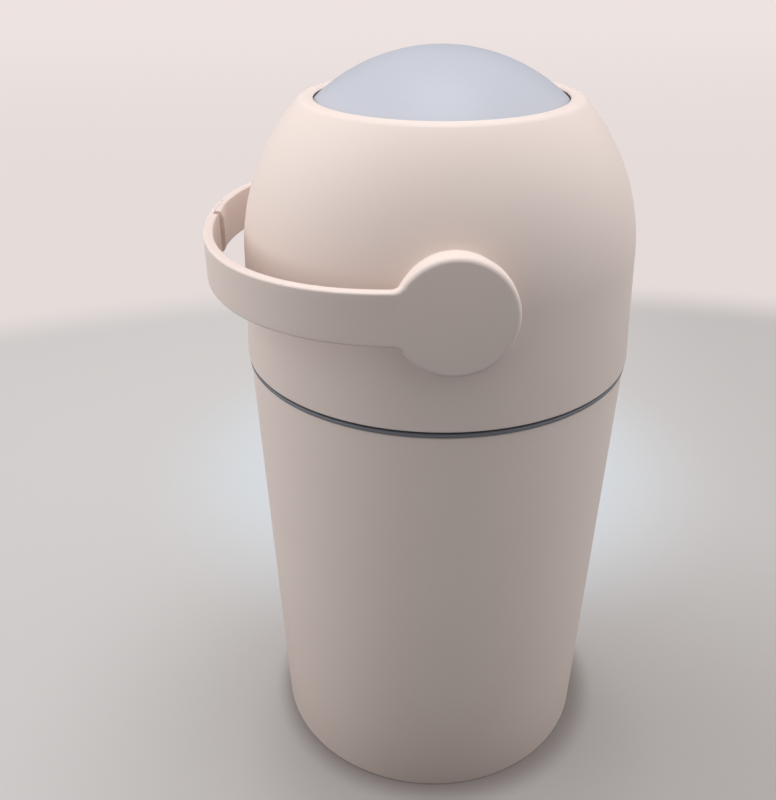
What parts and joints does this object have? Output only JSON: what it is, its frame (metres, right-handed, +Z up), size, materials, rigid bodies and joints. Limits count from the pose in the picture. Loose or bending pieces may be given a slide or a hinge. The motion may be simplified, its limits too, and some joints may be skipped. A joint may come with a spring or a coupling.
{
  "type": "nappy bin",
  "caption": "Nappy bin with a tapering round body, a lift-off domed lid and a bail handle that turns a pocketed ball through the lid, so a dropped nappy is sealed inside",
  "frame": {"origin": "centre of the bin's round foot, on the floor it stands on; the body's own axis is the Z axis, and the bail stands out past the body towards -X", "axes": "+Z points up along the body's axis; the ball and bail turn about an axis along +Y 379.5 mm above the floor; at rest the bail lies level towards -X and the hubs face -Y and +Y"},
  "size_m": [0.2721, 0.274, 0.493],
  "materials": {
    "shell_plastic": "fine matte texture",
    "ball_plastic": "satin",
    "ring_plastic": "satin",
    "inner_plastic": "satin",
    "seal_rubber": "matte",
    "pad_rubber": "matte",
    "bearing_plastic": "satin",
    "drive_plastic": "satin",
    "screw_steel": "satin"
  },
  "bodies": {
    "bin": {"bin_body": "shell_plastic", "foot_ring": "pad_rubber"},
    "bag_ring": {"bag_ring": "ring_plastic", "ring_gasket": "seal_rubber"},
    "lid": {"lid_shell": "shell_plastic", "lid_liner": "inner_plastic", "liner_screws": "screw_steel", "upper_seal": "seal_rubber", "lower_seal": "seal_rubber", "seal_clamp_ring": "inner_plastic", "clamp_screws": "screw_steel", "lid_gasket": "seal_rubber", "axle_bush_front": "bearing_plastic", "axle_bush_back": "bearing_plastic", "thrust_washer_front": "bearing_plastic", "thrust_washer_back": "bearing_plastic"},
    "ball": {"ball_dome": "ball_plastic", "ball_mouth": "ball_plastic", "pocket_cup": "ball_plastic", "drive_socket_front": "drive_plastic", "drive_socket_back": "drive_plastic", "axle_washers": "screw_steel", "axle_screws": "screw_steel", "bail_front": "shell_plastic", "bail_back": "shell_plastic"}
  },
  "joints": [
    {"name": "ring_lift", "type": "slide", "parent": "bin", "child": "bag_ring", "axis": [0, 0, 1], "range_m": [0, 0.06]},
    {"name": "lid_lift", "type": "slide", "parent": "bag_ring", "child": "lid", "axis": [0, 0, 1], "range_m": [0, 0.12]},
    {"name": "ball_turn", "type": "hinge", "parent": "lid", "child": "ball", "pos_m": [0, 0, 0.3795], "axis": [0, 1, 0], "range_deg": [0, 180]}
  ]
}
